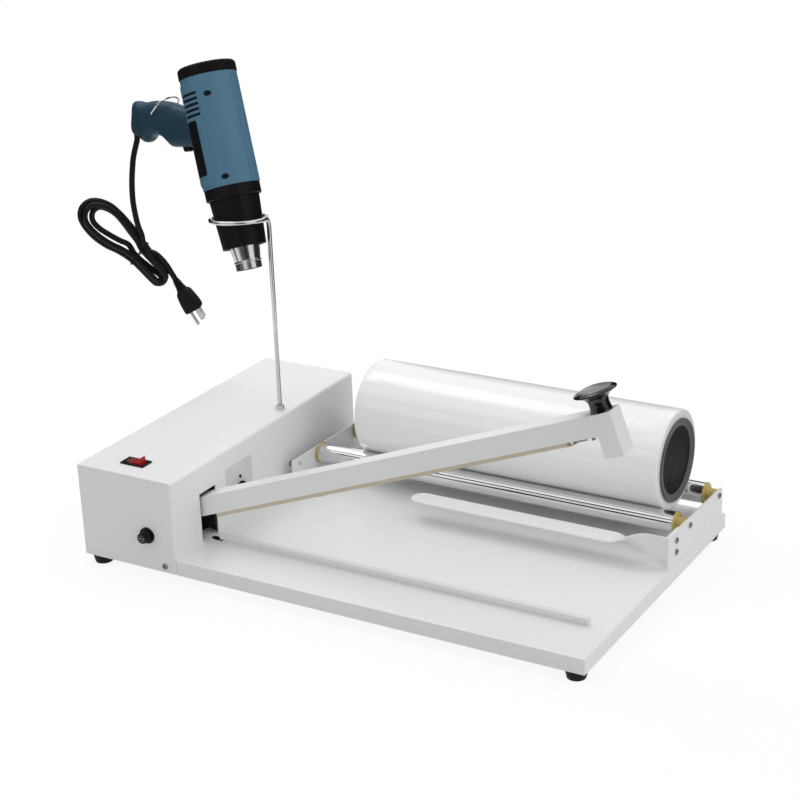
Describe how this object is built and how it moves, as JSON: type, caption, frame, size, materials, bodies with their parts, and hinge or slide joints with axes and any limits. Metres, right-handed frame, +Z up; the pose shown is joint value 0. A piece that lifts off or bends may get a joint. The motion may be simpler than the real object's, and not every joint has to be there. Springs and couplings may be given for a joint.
{
  "type": "bar heat sealer",
  "caption": "Bench bar heat sealer with a hinged sealing arm over a seal bar, a film roll on two rollers, and a heat gun kept in a wire ring stand.",
  "frame": {"origin": "centre of the front left foot's underside, on the table", "axes": "+X to the right along the base's long edge, +Y to the back, +Z up"},
  "size_m": [0.9121, 0.4631, 0.618],
  "materials": {
    "white_enamel": "satin enamel",
    "plain_sheet": "matt zinc",
    "black_rubber": "matt",
    "bar_aluminium": "satin",
    "pale_cover": "woven, matt",
    "dark_steel": "black, matt",
    "strip_rubber": "matt",
    "steel": "plain",
    "roller_chrome": "polished",
    "yellow_plastic": "moulded",
    "clear_film": "glossy film",
    "cardboard": "cardboard",
    "grey_plastic": "moulded",
    "black_plastic": "moulded",
    "knob_black": "polished",
    "rocker_red": "polished",
    "lamp_red": "clear",
    "gun_blue": "satin",
    "iron_core": "varnished"
  },
  "bodies": {
    "base": {"base_pan": "white_enamel", "bottom_plate": "plain_sheet", "housing_cover": "white_enamel", "foot_front_left": "black_rubber", "foot_front_right": "black_rubber", "foot_back_left": "black_rubber", "foot_back_right": "black_rubber", "seal_bar": "bar_aluminium", "seal_pad": "pale_cover", "left_bracket": "white_enamel", "right_bracket": "white_enamel", "film_bar": "white_enamel", "machine_screws": "steel", "front_axle": "steel", "rear_axle": "steel", "stand_rod": "steel", "rod_collar": "steel", "switch_frame": "black_plastic", "indicator_lamp": "lamp_red", "timer_control": "black_plastic", "fuse_holder": "black_plastic", "cord_gland": "black_rubber", "transformer": "iron_core", "pivot_bracket": "dark_steel", "pivot_pin": "steel", "return_spring": "steel"},
    "switch_rocker": {"rocker": "rocker_red"},
    "timer_dial": {"timer_knob": "black_plastic"},
    "fuse_carrier": {"fuse_cap": "black_plastic"},
    "sealing_arm": {"arm_tube": "white_enamel", "arm_leg": "white_enamel", "arm_strip": "strip_rubber", "wire_clamp": "steel", "handle_knob": "knob_black", "knob_cap": "grey_plastic"},
    "front_roller_set": {"front_roller": "roller_chrome", "front_cap_left": "yellow_plastic", "front_cap_right": "yellow_plastic"},
    "rear_roller_set": {"rear_roller": "roller_chrome", "rear_cap_left": "yellow_plastic", "rear_cap_right": "yellow_plastic"},
    "film": {"film_roll": "clear_film", "film_core": "cardboard", "core_plug_left": "grey_plastic", "core_plug_right": "grey_plastic"},
    "heat_gun": {"gun_shell_left": "gun_blue", "gun_shell_right": "gun_blue", "gun_rear_cap": "black_plastic", "gun_collar": "black_plastic", "nozzle_guard": "black_plastic", "nozzle": "steel", "strain_relief": "black_rubber", "cord_lead": "black_rubber", "cord_hank": "black_rubber", "cord_tail": "black_rubber", "hank_tie": "black_plastic", "plug_body": "black_rubber", "plug_prongs": "steel"},
    "gun_trigger": {"trigger": "black_plastic"},
    "gun_bail": {"hanger_bail": "steel"}
  },
  "joints": [
    {"name": "arm_hinge", "type": "hinge", "parent": "base", "child": "sealing_arm", "pos_m": [0.073, 0.062, 0.0614], "axis": [0, 1, 0], "range_deg": [0, 20.65], "stiffness_Nm_per_rad": 5, "springref_deg": -57.3, "deforming": ["return_spring"]},
    {"name": "rocker_tilt", "type": "hinge", "parent": "base", "child": "switch_rocker", "pos_m": [0.0502, 0.0222, 0.138], "axis": [0, 1, 0], "range_deg": [0, 16]},
    {"name": "timer_turn", "type": "hinge", "parent": "base", "child": "timer_dial", "pos_m": [0.1318, 0.1355, 0.075], "axis": [1, 0, 0], "range_deg": [0, 270]},
    {"name": "fuse_cap_out", "type": "slide", "parent": "base", "child": "fuse_carrier", "axis": [0, -1, 0], "range_m": [0, 0.03]},
    {"name": "film_spin", "type": "hinge", "parent": "base", "child": "film", "pos_m": [0.433, 0.353, 0.12871], "axis": [1, 0, 0], "continuous": true},
    {"name": "front_roller_spin", "type": "hinge", "parent": "base", "child": "front_roller_set", "pos_m": [0.433, 0.303, 0.066], "axis": [1, 0, 0], "continuous": true},
    {"name": "rear_roller_spin", "type": "hinge", "parent": "base", "child": "rear_roller_set", "pos_m": [0.433, 0.403, 0.066], "axis": [1, 0, 0], "continuous": true},
    {"name": "gun_lift_out", "type": "slide", "parent": "base", "child": "heat_gun", "axis": [-0.3121, 0.1873, 0.9314], "range_m": [0, 0.12]},
    {"name": "trigger_pull", "type": "slide", "parent": "heat_gun", "child": "gun_trigger", "axis": [-0.3121, 0.1873, 0.9314], "range_m": [0, 0.004], "stiffness_N_per_m": 600, "springref_m": -0.004},
    {"name": "bail_swing", "type": "hinge", "parent": "heat_gun", "child": "gun_bail", "pos_m": [-0.05996, 0.27649, 0.53429], "axis": [-0.1229, -0.9801, 0.1559], "range_deg": [0, 104]}
  ],
  "couplings": [
    {"joint": "front_roller_spin", "follows": "film_spin", "ratio": -4.7482},
    {"joint": "rear_roller_spin", "follows": "film_spin", "ratio": -4.7482}
  ]
}
